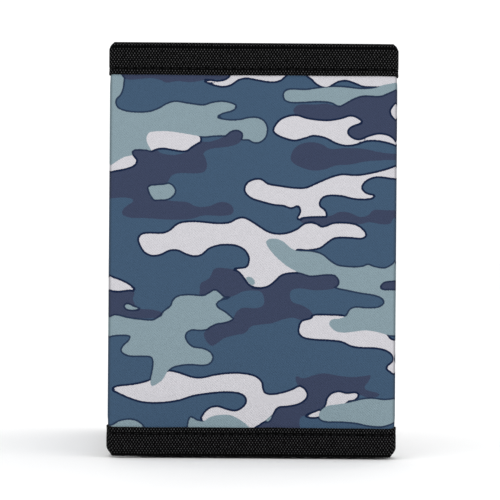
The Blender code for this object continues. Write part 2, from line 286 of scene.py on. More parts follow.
def sweep(name, rings, material):
    """A closed section swept along. A ring is u, z, depth and the place along and across its cloth.

    The first half of a ring is its outer path, and the second half runs back along its inner path.
    """
    points = np.concatenate([lay(u, z, depth) for u, z, depth, _, _ in rings])
    cloth = np.concatenate([swatch(along, across) for *_, along, across in rings])
    size = len(points) // len(rings)
    last = len(points) - size
    faces = ring_faces(len(rings), size)
    for index in range(size // 2 - 1):
        mate = size - 1 - index
        faces.append((index, index + 1, mate - 1, mate))
        faces.append((last + mate, last + mate - 1, last + index + 1, last + index))
    return new_object(name, points, faces, material, cloth)


SEWN_IN = 1.9
SECOND_SEAM = 8.1
SOFT_EDGE = 0.3
SOFT_SHARE = 0.35
GROOVE_WIDTH = 0.55


def folded(edge, rim, front, back, thick, turn, groove=0.0):
    """The section of a tape folded over a rim: where each point lies, how deep, and how far round.

    front and back are the depths of its outer faces. groove is how far a seam pulls it in.
    """
    straight = abs(rim - edge) - turn
    down_front = np.concatenate([[0.0, 0.12, 0.3], np.linspace(0.7, straight, 12)])
    round_turn = np.linspace(0, math.pi, 11)[1:-1]
    up_back = np.append(np.linspace(straight, 0.6, 6), [0.2, 0.0])
    dip = groove * np.exp(-(((down_front - SEWN_IN) / GROOVE_WIDTH) ** 2))
    across, depth = [], []
    for inset, soft in ((0.0, SOFT_SHARE * thick), (thick, 0.0)):
        middle, half = (front + back) / 2, (back - front) / 2 - inset
        drawn = soft * (1 - smooth(down_front / SOFT_EDGE)) + dip
        drawn_back = soft * (1 - smooth(up_back / SOFT_EDGE))
        turning = straight + (turn - inset) * np.sin(round_turn)
        across.append(np.concatenate([down_front, turning, up_back]))
        depth.append(np.concatenate(
            [middle - half + drawn, middle - half * np.cos(round_turn), middle + half - drawn_back]))
    steps = np.hypot(np.diff(across[0]), np.diff(depth[0]))
    running = np.concatenate([[0.0], np.cumsum(steps)])
    way = 1 if rim > edge else -1
    return tuple(np.concatenate([outer, inner[::-1]]) for outer, inner in (
        (edge + way * across[0], edge + way * across[1]), depth, (running, running)))


# The camouflage print: drawn outlines of (u, z), which smooth closed curves run through

PRINT_SHIFT = 0.9
PRINT_SQUEEZE = 0.08
PRINT_STRETCH = 0.85
SQUEEZED_WITHIN = 25.0
PRINT_SWAY = 12.0

WHITE_SHAPES = [
    [(-15, 109), (-13, 107.9), (-10, 107.3), (-7.5, 107.8), (-5.5, 109.2), (-3, 109.8), (0, 109.3),
     (3, 108.8), (5.5, 108.8), (7.5, 109.7), (8.7, 112), (4, 114), (-6, 114), (-7.6, 111),
     (-8.5, 109.4), (-11, 108.7)],
    [(15, 112), (16.2, 109.3), (18, 107.8), (20, 107.2), (21.5, 107.8), (23.5, 109), (26, 109.3),
     (28.5, 108.5), (31, 107.6), (34, 107.5), (37, 107.5), (43.5, 108), (45, 113), (30, 115)],
    [(5, 94.8), (6.5, 97.3), (9, 98.6), (11.7, 98.9), (15, 98), (20, 97.5), (24, 98), (27, 98.9),
     (29, 98.4), (30.4, 97.1), (28, 96.2), (26.6, 95.2), (26.4, 93.8), (28, 92.4), (30, 92.1),
     (32.5, 93.1), (35.5, 93.8), (38.5, 93.2), (41, 91.3), (44.5, 89.6), (41.5, 90.3), (38, 91.4),
     (34.5, 92), (31.5, 91.8), (29, 90.9), (26, 90.5), (23, 91.2), (20, 92.7), (16.5, 93.3),
     (14, 92.6), (11, 91.9), (8, 92.6), (6, 93.5)],
    [(45, 103.2), (41.5, 103), (39.8, 102.2), (38.7, 100.5), (39.4, 98.8), (41.5, 97.7), (45, 97.3)],
    [(-32.6, 92), (-32, 94.5), (-28, 95), (-20, 94.3), (-17, 93.1), (-16.2, 92.4), (-16.3, 91.1),
     (-18, 90.1), (-19.6, 88.9), (-21, 88.5), (-23, 88.7), (-27, 89.3), (-29.3, 88.9), (-30.8, 88.2)],
    [(-45, 87.5), (-40, 87.7), (-36.2, 87.4), (-34.8, 86.1), (-34.6, 85), (-35.5, 83.8), (-38, 82.9),
     (-41, 82.2), (-45, 81)],
    [(-3.2, 77.5), (-2.5, 79.3), (-0.5, 80.3), (1.5, 80.3), (3.5, 79), (7, 78.4), (11, 77.9),
     (14.5, 78), (18, 79.5), (22, 81.2), (25, 81.9), (29, 81.7), (33, 82.3), (37, 83.3), (45, 85.4),
     (46, 80.4), (42.5, 80.7), (39, 81.1), (35, 81.5), (32, 80.5), (30.5, 78.7), (31, 77.2),
     (32.5, 76.3), (34.1, 76), (33.3, 75.2), (31, 75), (28, 75.2), (25, 75.9), (21.5, 76.1),
     (19.3, 75.5), (18.3, 74), (18.5, 72.7), (20, 71.4), (20, 69.6), (16, 69.3), (12.3, 69.1),
     (13, 71), (12.8, 72.3), (12, 73), (10.2, 72.3), (8, 73), (5, 73.3), (1.5, 74.2), (-1, 75),
     (-2.6, 76.2)],
    [(-33.8, 62.5), (-33.3, 64), (-31.5, 64.6), (-27, 64.6), (-24.8, 65.4), (-23, 67), (-21, 67.8),
     (-17, 68), (-11, 67.5), (-7.5, 67.8), (-5.5, 68.9), (-3.5, 69.2), (-1.5, 68.3), (1, 66.7),
     (3.5, 65.2), (6, 64.6), (9, 64.8), (12, 66), (14, 67.5), (16, 67.9), (17.8, 67.4), (19, 66.7),
     (20.5, 67), (22.5, 67.8), (26, 67.9), (29, 67.4), (31, 66), (31.8, 64.5), (30.5, 63.7),
     (27, 63.9), (23, 63.8), (20.5, 62.3), (18.5, 60.8), (15, 60.2), (11.5, 60), (12.5, 55),
     (12.2, 53.5), (8, 53), (6, 51.5), (3.5, 49.6), (0.5, 49.1), (-1.8, 49.8), (-3, 51.5),
     (-4.5, 53), (-6.1, 54.3), (-4.5, 54.6), (-2.5, 55), (-1.8, 56.5), (-1.8, 58), (-2.8, 59.8),
     (-4.5, 61), (-7, 61.6), (-10.5, 61.5), (-13.5, 60.5), (-15.5, 58.8), (-17.5, 58.2),
     (-20, 58.8), (-22.5, 59.9), (-25, 59.8), (-27.5, 58.6), (-30, 58.3), (-32.3, 59.5)],
    [(-45, 52.5), (-40.5, 51.5), (-37, 50), (-35, 48.3), (-37, 48), (-45, 47.5)],
    [(12.8, 37.5), (13.5, 39.4), (15.5, 40.1), (17, 41.2), (21, 41.3), (26, 41), (34, 39), (38, 36),
     (39.5, 34.4), (45, 32.6), (46, 24), (41, 24.4), (39, 25.3), (38.2, 26.2), (39, 27.2),
     (40.3, 28.3), (40, 29.8), (38, 31.3), (35, 32), (31, 32.1), (28, 32.5), (25, 33.8),
     (21, 34.2), (17, 34.4), (14.2, 34.9), (12.9, 36)],
    [(-41, 19.4), (-39.5, 20.3), (-36, 20.7), (-32, 21.5), (-29, 22.7), (-27, 24), (-25, 24.8),
     (-22, 24.3), (-18, 23), (-15, 22.9), (-11, 23.8), (-6, 24.3), (-2, 24), (0.5, 23.2),
     (2, 21.7), (2.3, 20), (3, 18.6), (5, 18.2), (8, 18.7), (11, 19.7), (13, 20.7), (14.5, 19.8),
     (15.2, 18.2), (14.5, 16.8), (12.5, 15.6), (10, 15), (7, 14.6), (5.6, 12.8), (3.8, 11),
     (1.5, 9.6), (-0.5, 7.5), (-8, 7.5), (-14.8, 10.4), (-14.6, 12.5), (-12.8, 14.2),
     (-10.5, 14.6), (-8, 13.8), (-5.5, 13.4), (-3.5, 14.3), (-2.3, 16), (-2.8, 17.8), (-5, 18.8),
     (-9, 19), (-14, 18.5), (-18, 17.8), (-22, 16.5), (-27, 15.8), (-32, 15.9), (-36, 17),
     (-39, 18.3)],
    [(20.6, 14.6), (21, 17), (22.3, 18.6), (24.5, 19.2), (26.5, 18.7), (29, 19), (30, 18.2),
     (29, 17), (27.2, 16.6), (26.4, 15.9), (24.5, 14.6)],
    [(15, 12.2), (17, 13.1), (18.8, 13.8), (20, 12.5), (17.2, 11.7)],
]

SAGE_SHAPES = [
    [(-46, 114), (-38.9, 113), (-38.6, 108), (-39.3, 105), (-40.8, 103.2), (-40.5, 101.2),
     (-38.5, 100), (-35, 99.5), (-31, 99.7), (-28, 100.8), (-26, 102), (-23.5, 102.7),
     (-20, 102.2), (-15.5, 101.7), (-13, 102.4), (-10, 102.8), (-7.3, 102.3), (-6, 101.5),
     (-7, 100.4), (-10, 99.5), (-11.5, 98.5), (-10.5, 97.8), (-7.5, 97.4), (-4.5, 97.6),
     (-2.5, 98.1), (0, 98.2), (2, 97.3), (3, 95.3), (2.6, 92.8), (1, 91.3), (-0.8, 91.2),
     (-2.3, 92), (-4, 92), (-8, 93), (-12, 93), (-15.5, 92.7), (-20, 93.4), (-25, 94.1),
     (-29, 94.1), (-31.2, 93.6), (-31.8, 91.8), (-31.2, 90), (-30.3, 88), (-34, 87.5),
     (-36.2, 87.1), (-38, 86.7), (-46, 85.4)],
    [(7.8, 104.8), (8.3, 106), (10, 106.5), (14, 106.4), (17, 106.8), (21, 107.3), (25, 107.3),
     (30, 106.8), (34, 107.1), (37, 108.1), (45, 109.3), (46, 107.7), (41, 106.6), (38, 105.2),
     (32, 104.4), (29, 104), (26.5, 103.1), (24.5, 102), (23.5, 101.9), (21.5, 102.9),
     (18, 103.2), (13, 102.9), (10, 102.9), (8.3, 103.5)],
    [(-31, 78.2), (-29, 78.5), (-26.5, 78.7), (-25.3, 79), (-24, 78.2), (-23.4, 76.8),
     (-24.3, 75.3), (-26, 74.5), (-29, 74.2), (-30.3, 75.5), (-31, 77)],
    [(3, 62.2), (3.8, 63.2), (6, 63.3), (8, 62.5), (10, 60.8), (12, 59.9), (16, 59.7), (19, 58.9),
     (21.5, 57), (24, 55.6), (28, 55.2), (31, 55.4), (32.5, 56), (34.5, 55.3), (37.5, 55),
     (40, 56.3), (46, 60), (47, 33), (42.5, 35.2), (38.5, 35.7), (35.5, 36.5), (32, 37),
     (28.5, 36.6), (25.5, 36.3), (23, 36.9), (21.4, 38.7), (22.2, 40.1), (24.5, 40.4),
     (26.5, 41.3), (27.3, 42.8), (29, 43.6), (32, 43.4), (35.5, 43.6), (37.3, 44.8),
     (36.8, 46.3), (34.5, 47.3), (30.5, 47.9), (26.5, 48.7), (23, 49.6), (21, 52.5), (17, 52.3),
     (14, 53), (12, 53.8), (9, 55.5), (6, 58), (4, 60.3)],
    [(-46, 41), (-40, 40.8), (-37, 40.1), (-33, 39.6), (-29, 39.6), (-26, 42.3), (-24.3, 43.6),
     (-23.7, 45.3), (-22, 46.5), (-19, 46.8), (-15, 46.6), (-13.3, 47.5), (-11.7, 48.3),
     (-10.5, 47.6), (-9, 46.3), (-7.5, 46.2), (-9.5, 45.8), (-11.3, 44.6), (-10.8, 43.2),
     (-8.8, 42), (-7, 40.5), (-6.4, 39.8), (-8.5, 39.1), (-11.5, 38.6), (-13, 37.4),
     (-15.5, 36.8), (-18.5, 36.9), (-20.2, 35.5), (-19.8, 33.5), (-18, 31.8), (-15, 31.3),
     (-13, 30.3), (-12.2, 28.8), (-13, 27.3), (-15, 26.7), (-19, 26.9), (-23, 26.3), (-25, 25),
     (-26.5, 22.5), (-28.3, 21), (-29.8, 20.5), (-30.1, 22), (-29.5, 25), (-29.3, 27.5),
     (-30, 29), (-32.5, 29.2), (-36.5, 29.3), (-38.5, 30.5), (-38, 32), (-36.5, 33.4),
     (-36, 34.8), (-37.5, 35.2), (-40.5, 35.1), (-46, 34.5)],
    [(-46, 7.5), (-41.5, 8.8), (-39, 10.2), (-36, 10.7), (-33.5, 10), (-32, 8.2), (-33, 5), (-45, 4)],
    [(-18.7, 11.3), (-16.5, 10.6), (-14.6, 10.4), (-13, 11.5), (-10.5, 12.2), (-7, 12.2),
     (-4, 10.8), (-2, 9.2), (0, 6), (-12, 4), (-18.7, 6)],
    [(19, 11.3), (18.7, 13), (20, 14.5), (21.5, 15.2), (25, 15.7), (28, 16.3), (31, 17),
     (34, 17.3), (38, 16.9), (46, 17.4), (47, 11.8), (40.5, 10.3), (37, 9.3), (33, 9.5),
     (29, 10.3), (24, 10.6), (21, 10.6)],
    [(-2.9, 51.9), (-1.9, 52.3), (-0.6, 51.7), (-0.1, 50.6), (-0.5, 49.8), (-1.4, 50.0), (-2.3, 51)],
    [(3.1, 10.5), (4.2, 11.7), (5.6, 12.7), (5.3, 11.8), (4.5, 10.8), (3.8, 10.3)],
]

INDIGO_SHAPES = [
    [(-38.2, 113), (-38.6, 109.6), (-36, 109), (-31, 109.5), (-28, 109), (-26, 108.2),
     (-23, 108.7), (-19, 108.4), (-14, 109.2), (-9, 109.3), (-7.7, 110.4), (-7.5, 113), (-20, 115)],
    [(-46, 81), (-38, 83.2), (-35.4, 84.2), (-34.6, 85.6), (-35.6, 87), (-36, 88), (-35.3, 88.8),
     (-32, 88.8), (-30.3, 88.4), (-29, 89), (-27.5, 87.8), (-24, 87.3), (-20.8, 88),
     (-19.5, 89.1), (-18, 90.2), (-16, 91.2), (-13, 91.3), (-9.5, 92.7), (-7.5, 94.3),
     (-5.5, 94.7), (-4, 93.7), (-4.2, 91.8), (-6, 90.4), (-9, 89.7), (-13, 89.2), (-15.3, 88),
     (-14.7, 86.5), (-14.2, 84.5), (-15, 82.5), (-18, 82), (-22, 82.1), (-24.5, 81.3),
     (-25.5, 79.5), (-27, 78.8), (-30.9, 78.3), (-30.9, 76.3), (-30, 74.4), (-27, 74.4),
     (-24, 74), (-20, 73.7), (-17, 72.4), (-13.5, 72.6), (-10.5, 73.8), (-8, 73.5), (-6.5, 72),
     (-7, 70.3), (-10, 69.8), (-15, 69.9), (-19, 68.8), (-25, 68.6), (-32, 69), (-36.5, 69.1),
     (-38.7, 70.2), (-38, 72), (-35.3, 74), (-38, 74.9), (-46, 75)],
    [(10.8, 101), (12.5, 102.2), (17, 102.2), (20, 102.5), (23.5, 101.8), (25, 102.3), (28, 104),
     (31, 104.9), (35.5, 104.8), (38, 105.7), (41, 106.9), (46, 107.5), (46, 89), (44.5, 89.6),
     (41, 91.3), (38.5, 93.2), (35.5, 93.8), (32.5, 93.1), (30, 92.1), (28, 92.4), (26.4, 93.8),
     (26.6, 95.2), (28, 96.2), (30.4, 97.1), (29, 98.4), (27, 98.9), (24, 98), (20, 97.5),
     (15, 98), (12, 99), (10.8, 99.8)],
    [(9.9, 86.8), (10.8, 89.2), (13, 90.8), (16, 91.3), (19, 90.7), (21.5, 89.4), (26, 89.7),
     (31, 89.5), (35, 88.7), (39, 88.2), (46, 88), (46, 86.4), (38, 86.3), (32, 85.9),
     (27, 84.9), (23, 84.6), (20, 83.5), (16.5, 83.1), (13, 84), (10.6, 85.3)],
    [(12.7, 69.3), (16, 69.8), (20, 69.9), (22, 70.2), (24, 71.2), (27, 71), (30, 69.8),
     (32.5, 70.3), (34, 71.8), (38, 71.8), (45, 71.5), (44, 70), (40, 69.5), (39, 68),
     (36.5, 67.7), (33, 68.3), (30, 67.7), (26, 68), (22.5, 68), (20.5, 67.1), (19, 66.8),
     (17.8, 67.5), (16, 68), (14, 67.7), (12.8, 68.5)],
    [(-16, 48.5), (-15.8, 50.3), (-13.3, 51.8), (-12.3, 54), (-11, 54.8), (-8, 54.6),
     (-5.5, 54.2), (-4, 53), (-2.8, 51.4), (-1.5, 49.9), (0.8, 49.2), (3.5, 49.6), (5.5, 51),
     (7, 52.6), (9, 53.4), (12.5, 53.6), (16, 52.7), (20, 53.1), (23, 52.9), (24.3, 51),
     (23.5, 49.4), (21, 48.7), (17, 48.5), (13, 49), (10.5, 48.5), (10, 46.8), (10.8, 45),
     (13, 44.3), (15.5, 43), (16.8, 41.3), (16, 40.2), (13.5, 39.8), (11, 40.5), (8, 40),
     (5, 38.9), (2, 38.5), (-1, 38), (-2.3, 36.5), (-3.3, 35.8), (-6, 35.3), (-9, 34.4),
     (-11, 32.9), (-12.5, 32.2), (-14, 33.5), (-14.8, 35.5), (-14, 37), (-12, 38.3), (-9, 39),
     (-6.5, 40), (-5.5, 42), (-3.5, 43.3), (0, 43.2), (2.3, 44), (2.5, 46.2), (1.5, 48),
     (-1, 48.3), (-3.5, 48), (-6, 46.8), (-8, 46.2), (-9.2, 46.6), (-11.5, 48.4),
     (-13.5, 47.3), (-16, 46.8)],
    [(-46, 48), (-40, 47.8), (-36, 48.2), (-34.9, 47.3), (-35.4, 45.5), (-34.6, 44),
     (-33.3, 42.8), (-30, 42.6), (-27.5, 42), (-26.7, 41.2), (-28, 40.3), (-32, 40),
     (-36.5, 40.3), (-40, 41), (-46, 39.7)],
    [(36, 49.5), (37, 50.9), (39.5, 51.4), (46, 51.4), (46, 48.6), (39.5, 48.7), (37, 48.7)],
    [(11.8, 23.8), (14, 23), (17, 23.9), (20, 24.5), (24, 23.9), (28, 23.5), (31.5, 23.8),
     (33.5, 24), (33, 22.3), (31.8, 20.8), (32.5, 19.7), (35.5, 19), (36, 18), (33, 17.5),
     (30.5, 18.4), (29, 18.9), (26.5, 18.7), (24.5, 19.2), (22.3, 18.6), (21, 17),
     (20.6, 15.2), (18.5, 13.7), (16.5, 12.9), (14.8, 12.2), (13.5, 11.8), (13, 10),
     (13, 5), (0, 4), (-1, 7.6), (1.5, 9.5), (4.3, 10.5), (5.3, 12.5), (6.7, 14.6), (9.5, 15),
     (12.5, 15.6), (14.5, 16.8), (15.2, 18.2), (14.5, 19.8), (13.3, 20.6), (12.2, 21.5)],
]

# Light shapes that lie over the indigo
INDIGO_WINDOWS = [
    [(46, 103.2), (41.5, 103), (39.8, 102.2), (38.7, 100.5), (39.4, 98.8), (41.5, 97.7), (46, 97.3)],
    [(-37.8, 43.5), (-37, 44.2), (-35.5, 43.6), (-33.5, 42.7), (-35, 42.4), (-37, 42.6)],
]
SAGE_IN_WINDOW = [INDIGO_WINDOWS[1]]


def smooth_outline(points, steps=5):
    """A closed curve through the points, as Catmull and Rom draw it, cut into short straight runs."""
    p = np.array(points, float)
    before, after, beyond = np.roll(p, 1, 0), np.roll(p, -1, 0), np.roll(p, -2, 0)
    runs = []
    for t in np.arange(steps) / steps:
        runs.append(0.5 * (2 * p + (after - before) * t + (2 * before - 5 * p + 4 * after - beyond) * t**2
                           + (3 * p - before - 3 * after + beyond) * t**3))
    return np.stack(runs, 1).reshape(-1, 2)


def distance_to(points, outlines, limit=3.0):
    """Signed distance from each point to the nearest outline: negative inside a shape."""
    nearest = np.full(len(points), limit)
    for outline in outlines:
        curve = smooth_outline(outline)
        low, high = curve.min(0) - limit, curve.max(0) + limit
        close = np.all((points > low) & (points < high), 1)
        p = points[close]
        best = np.full(len(p), limit**2)
        inside = np.zeros(len(p), bool)
        for a, b in zip(curve, np.roll(curve, -1, 0)):
            run = b - a
            t = np.clip(((p - a) @ run) / max(run @ run, 1e-9), 0, 1)
            gap = p - a - t[:, None] * run
            best = np.minimum(best, (gap**2).sum(1))
            if a[1] != b[1]:
                crosses = (a[1] > p[:, 1]) != (b[1] > p[:, 1])
                inside ^= crosses & (p[:, 0] < (p[:, 1] - a[1]) / (b[1] - a[1]) * run[0] + a[0])
        nearest[close] = np.minimum(nearest[close], np.where(inside, -1, 1) * np.sqrt(best))
    return nearest


def print_place(u, z):
    """Where the print is looked up: past each fold it runs back, a little squeezed and swaying."""
    past = np.maximum(np.abs(u) - HALF, 0.0)
    back = np.where(past > 0, np.sign(u) * (HALF - PRINT_STRETCH * past), u)
    middle, half = (BOTTOM_EDGE + TOP_EDGE) / 2, (TOP_EDGE - BOTTOM_EDGE) / 2
    squeeze = PRINT_SQUEEZE * smooth(past / SQUEEZED_WITHIN)
    z = middle + (z - middle) * (1 - squeeze) + squeeze * half * np.sin(past / PRINT_SWAY)
    return np.stack([back - PRINT_SHIFT, z], -1)


def add_print(obj):
    """Stores how far each point of a printed piece is from each colour's shapes, in millimetres."""
    mesh = obj.data
    cloth = np.zeros(len(mesh.vertices) * 3, np.float32)
    mesh.attributes["cloth"].data.foreach_get("vector", cloth)
    cloth = cloth.reshape(-1, 3).astype(float)[: len(mesh.vertices) // 2]
    place = print_place(cloth[:, 0], cloth[:, 1])
    windows = distance_to(place, INDIGO_WINDOWS)
    fields = {
        "white_mm": distance_to(place, WHITE_SHAPES),
        "sage_mm": distance_to(place, SAGE_SHAPES + SAGE_IN_WINDOW),
        "indigo_mm": np.maximum(distance_to(place, INDIGO_SHAPES), -windows),
    }
    for name, values in fields.items():
        layer = mesh.attributes.new(name, "FLOAT", "POINT")
        layer.data.foreach_set("value", np.tile(values, 2).astype(np.float32))


# Materials: each is drawn in millimetres on its cloth


class Look:
    """A material being made, with short ways to add the nodes it is made of."""

    def __init__(self, name, **shader):
        self.material = bpy.data.materials.new(name)
        self.material.use_nodes = True
        self.tree = self.material.node_tree
        self.shader = self.tree.nodes["Principled BSDF"]
        for socket, value in shader.items():
            self.shader.inputs[socket.replace("_", " ")].default_value = value

    def add(self, kind, *values, output=0, **settings):
        """A node. Each value is linked if it is a socket, set if it is a number, left if None."""
        made = self.tree.nodes.new("ShaderNode" + kind)
        for name, value in settings.items():
            setattr(made, name, value)
        for socket, value in zip(made.inputs, values):
            if isinstance(value, bpy.types.NodeSocket):
                self.tree.links.new(value, socket)
            elif value is not None:
                socket.default_value = value
        return made.outputs[output]

    def number(self, operation, *values, clamp=False):
        return self.add("Math", *values, operation=operation, use_clamp=clamp)

    def ramp(self, value, slope, start):
        """start + slope * value, kept from 0 to 1."""
        return self.number("MULTIPLY_ADD", value, slope, start, clamp=True)

    def spread(self, value, low, high):
        """A value from 0 to 1, stretched to run from low to high."""
        return self.number("MULTIPLY_ADD", value, high - low, low)

    def gap(self, value, place):
        return self.number("ABSOLUTE", self.number("SUBTRACT", value, place))

    def cloth(self):
        """The place along, the place across, and both as a vector."""
        place = self.add("Attribute", attribute_name="cloth", output=1)
        parts = self.tree.nodes.new("ShaderNodeSeparateXYZ")
        self.tree.links.new(place, parts.inputs[0])
        return parts.outputs[0], parts.outputs[1], place

    def solid(self):
        """A CAD piece's own place, in millimetres."""
        place = self.add("TexCoord", output=3)
        return self.add("VectorMath", place, None, None, 1 / MM, operation="SCALE")

    def field(self, name):
        return self.add("Attribute", attribute_name=name, output=2)

    def noise(self, place, scale, detail=2.0):
        return self.add("TexNoise", place, None, scale, detail)

    def wave(self, place, pitch):
        """A wave of one pitch, from -1 to 1."""
        return self.number("COSINE", self.number("MULTIPLY_ADD", place, math.tau / pitch, 0.0))

    def mix(self, share, first, second, **settings):
        colours = [(*c, 1.0) if isinstance(c, tuple) else c for c in (first, second)]
        return self.add("MixRGB", share, *colours, **settings)

    def done(self, colour, roughness, height, depth):
        """Joins up the shader. height is a relief whose full range is depth millimetres."""
        links = self.tree.links
        bump = self.tree.nodes.new("ShaderNodeBump")
        bump.inputs["Strength"].default_value = 1.0
        bump.inputs["Distance"].default_value = depth * MM
        links.new(height, bump.inputs["Height"])
        links.new(bump.outputs[0], self.shader.inputs["Normal"])
        links.new(colour, self.shader.inputs["Base Color"])
        links.new(roughness, self.shader.inputs["Roughness"])
        return self.material


BLUE = (0.043, 0.084, 0.144)
INDIGO = (0.036, 0.048, 0.093)
SAGE = (0.214, 0.291, 0.327)
WHITE = (0.56, 0.55, 0.582)
OUTLINE = (0.003, 0.011, 0.042)
# How far outside a shape its outline is darkest, and where painted shade darkens the cloth along the folds
OUTLINE_AT = 0.16
FOLD_SHADE_AT = HALF + 0.4


def printed_canvas():
    look = Look("printed_canvas", Sheen_Weight=0.03, Sheen_Roughness=0.5, Specular_IOR_Level=0.12)
    along, across, place = look.cloth()
    frayed = look.spread(look.noise(place, 2.2), -0.14, 0.14)
    white, sage, indigo = (
        look.number("ADD", look.field(name), frayed) for name in ("white_mm", "sage_mm", "indigo_mm")
    )
    edge = look.number("MAXIMUM", look.number("MINIMUM", white, sage), look.number("MULTIPLY", indigo, -1.0))
    colour = BLUE
    for shape, ink in ((white, WHITE), (sage, SAGE), (indigo, INDIGO)):
        colour = look.mix(look.ramp(shape, -7.0, 0.5), colour, ink)
    by_white = look.ramp(look.number("SUBTRACT", sage, white), 4.0, 0.5)
    line = look.ramp(look.gap(edge, OUTLINE_AT), -12.0, look.spread(by_white, 3.6, 4.0))
    colour = look.mix(look.number("MULTIPLY", line, look.spread(by_white, 0.75, 1.0)), colour, OUTLINE)
    twill = look.wave(look.number("ADD", along, across), 0.78)
    yarn = look.wave(look.number("SUBTRACT", along, across), 0.52)
    weave = look.number("MULTIPLY_ADD", yarn, 0.35, twill)
    slub = look.noise(place, 0.55, 3.0)
    tone = look.number("MULTIPLY_ADD", weave, 0.035, look.spread(slub, 0.95, 1.05))
    # Painted shade: the cloth's colour is darkened in a narrow band along each fold
    fold_shade = look.ramp(look.gap(look.number("ABSOLUTE", along), FOLD_SHADE_AT), -1.1, 1.2)
    tone = look.number("MULTIPLY", tone, look.spread(fold_shade, 1.0, 0.55))
    shaded = look.mix(1.0, colour, tone, blend_type="MULTIPLY")
    return look.done(shaded, look.spread(slub, 0.78, 0.92), weave, 0.035)


def woven_tape():
    """Ribbed black tape with small grey flecks, and none of them beside a seam."""
    look = Look("woven_tape", Specular_IOR_Level=0.03)
    along, across, place = look.cloth()
    sway = look.spread(look.noise(place, 0.9, 1.0), -0.2, 0.2)
    ribs = look.wave(look.number("ADD", along, sway), 0.84)
    knots = look.number("MULTIPLY", ribs, look.wave(across, 1.24))
    patchy = look.ramp(look.noise(place, 1.6), 3.0, -0.75)
    shown = look.number("MULTIPLY", look.ramp(knots, 2.0, -0.65), patchy)
    for seam in (SEWN_IN, SECOND_SEAM):
        shown = look.number("MULTIPLY", shown, look.ramp(look.gap(across, seam), 2.0, -0.2))
    colour = look.mix(shown, (0.0006, 0.0006, 0.0008), (0.078, 0.078, 0.080))
    return look.done(colour, look.spread(patchy, 0.7, 0.85), knots, 0.12)


def woven_cloth(name, dark, light, pitch, roughness=0.75, relief=0.05):
    """Plain weave: threads over and under at one pitch."""
    look = Look(name, Sheen_Weight=0.08, Specular_IOR_Level=0.3)
    along, across, place = look.cloth()
    weave = look.number("MULTIPLY", look.wave(along, pitch), look.wave(across, pitch))
    slub = look.noise(place, 0.7, 3.0)
    colour = look.mix(look.ramp(weave, 0.3, look.spread(slub, 0.1, 0.9)), dark, light)
    return look.done(colour, look.spread(slub, roughness - 0.08, roughness + 0.08), weave, relief)


def herringbone(name, dark, light):
    """The zip's tape: slanting ribs that turn back every few millimetres."""
    look = Look(name, Specular_IOR_Level=0.35)
    along, across, place = look.cloth()
    ribs = look.wave(look.number("ADD", along, look.number("PINGPONG", across, 1.6)), 0.6)
    colour = look.mix(look.number("MULTIPLY_ADD", ribs, 0.4, 0.5), dark, light)
    return look.done(colour, look.spread(look.noise(place, 1.2), 0.6, 0.75), ribs, 0.05)


def moulded(name, dark, light, roughness, metallic=0.0, coat=0.0):
    """Plastic or metal: a little mottled, with fine scratches of roughness."""
    look = Look(name, Metallic=metallic, Coat_Weight=coat)
    place = look.solid()
    fine = look.noise(place, 5.4, 3.0)
    colour = look.mix(look.noise(place, 0.6, 4.0), dark, light)
    return look.done(colour, look.spread(fine, roughness - 0.1, roughness + 0.12), fine, 0.01)


def clear_sheet():
    look = Look("clear_sheet", Alpha=0.35, Specular_IOR_Level=1.0)
    _, _, place = look.cloth()
    haze = look.noise(place, 0.12, 3.0)
    colour = look.mix(haze, (0.10, 0.11, 0.12), (0.15, 0.16, 0.17))
    return look.done(colour, look.spread(haze, 0.03, 0.12), look.noise(place, 0.06, 1.0), 0.25)


def spun_thread():
    look = Look("spun_thread", Specular_IOR_Level=0.12)
    along, across, _ = look.cloth()
    twist = look.wave(look.number("ADD", along, across), 0.45)
    share = look.number("MULTIPLY_ADD", twist, 0.4, 0.5)
    colour = look.mix(share, (0.0025, 0.0025, 0.003), (0.010, 0.010, 0.011))
    return look.done(colour, look.spread(share, 0.6, 0.75), twist, 0.04)


def pale_floor():
    look = Look("pale_floor")
    grain = look.noise(look.solid(), 0.02, 3.0)
    colour = look.mix(grain, (0.90, 0.90, 0.90), (0.93, 0.93, 0.93))
    return look.done(colour, look.spread(grain, 0.85, 0.95), grain, 0.01)


CANVAS = printed_canvas()
TAPE = woven_tape()
LINING_CLOTH = woven_cloth("lining_nylon", (0.020, 0.022, 0.026), (0.038, 0.040, 0.046), 0.45, 0.6)
POCKET_CLOTH = woven_cloth("pocket_polyester", (0.016, 0.017, 0.020), (0.036, 0.038, 0.043), 0.62)
HEM_TAPE = woven_cloth("hem_grosgrain", (0.005, 0.005, 0.006), (0.016, 0.016, 0.018), 0.9, 0.65, 0.1)
ZIP_CLOTH = herringbone("zip_herringbone", (0.006, 0.006, 0.007), (0.020, 0.020, 0.022))
STRIP_BASE = woven_cloth("strip_base", (0.006, 0.006, 0.007), (0.016, 0.016, 0.018), 0.8)
HOOK_NYLON = moulded("hook_nylon", (0.010, 0.010, 0.012), (0.028, 0.028, 0.031), 0.4)
LOOP_YARN = moulded("loop_yarn", (0.006, 0.006, 0.007), (0.026, 0.026, 0.029), 0.75)
TOOTH_NYLON = moulded("tooth_nylon", (0.008, 0.008, 0.010), (0.022, 0.022, 0.025), 0.35, coat=0.1)
GUNMETAL = moulded("gunmetal", (0.14, 0.14, 0.15), (0.26, 0.26, 0.27), 0.32, metallic=1.0)
BOARD_PLASTIC = moulded("board_plastic", (0.30, 0.30, 0.31), (0.38, 0.38, 0.39), 0.5)
VINYL = clear_sheet()
THREAD = spun_thread()


# Where the pieces go


BODY_OF = {node: body for body, nodes in frame["record"]["behaviour"]["bodies"].items() for node in nodes}


